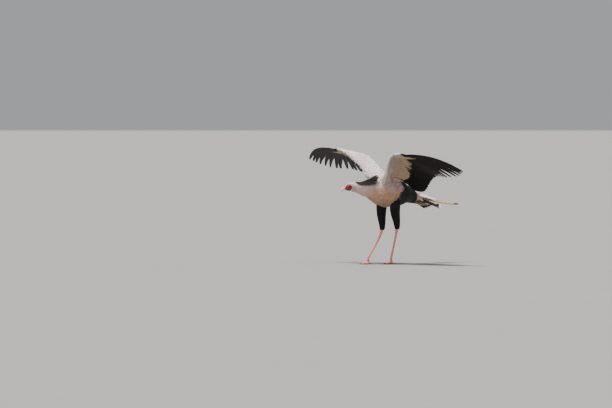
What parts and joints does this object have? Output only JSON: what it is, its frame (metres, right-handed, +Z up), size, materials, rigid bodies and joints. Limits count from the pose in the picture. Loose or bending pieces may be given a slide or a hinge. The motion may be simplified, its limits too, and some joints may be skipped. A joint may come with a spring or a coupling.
{
  "type": "secretary bird",
  "caption": "Life-size still secretary bird, standing with both wings raised and half spread, long legs, crest and tail.",
  "frame": {"origin": "centre of the bird's outline, seen from above, on the floor", "axes": "+X the way the breast faces, +Y to the bird's left, +Z up"},
  "size_m": [1.2854, 1.7624, 0.9582],
  "materials": {
    "grey_plumage": "soft pale grey body feathers, creamier on the breast, matt",
    "wing_plumage": "pale grey coverts over black secondaries, matt",
    "flight_plumage": "black primaries with a faint sheen under pale coverts",
    "tail_plumage": "grey-white tail feathers with black bands and white tips",
    "thigh_plumage": "short dense black feathering",
    "face_skin": "bare orange-red facial skin, finely wrinkled, black crest behind",
    "bill_horn": "bluish grey horn, darker at the hooked tip, satin",
    "eye": "dark brown, wet and glossy",
    "leg_skin": "salmon pink scaled skin, satin",
    "claw_horn": "dark horn, satin"
  },
  "bodies": {
    "root": {"torso": "grey_plumage", "neck": "grey_plumage", "tail": "tail_plumage", "head": "face_skin", "bill_upper": "bill_horn", "bill_lower": "bill_horn", "eye_left": "eye", "wing_left_arm": "wing_plumage", "wing_left_hand": "flight_plumage", "shank_left": "thigh_plumage", "tarsus_left": "leg_skin", "foot_left": "leg_skin", "claw_left_middle": "claw_horn", "claw_left_inner": "claw_horn", "claw_left_outer": "claw_horn", "claw_left_hind": "claw_horn", "eye_right": "eye", "wing_right_arm": "wing_plumage", "wing_right_hand": "flight_plumage", "shank_right": "thigh_plumage", "tarsus_right": "leg_skin", "foot_right": "leg_skin", "claw_right_middle": "claw_horn", "claw_right_inner": "claw_horn", "claw_right_outer": "claw_horn", "claw_right_hind": "claw_horn"}
  },
  "joints": []
}
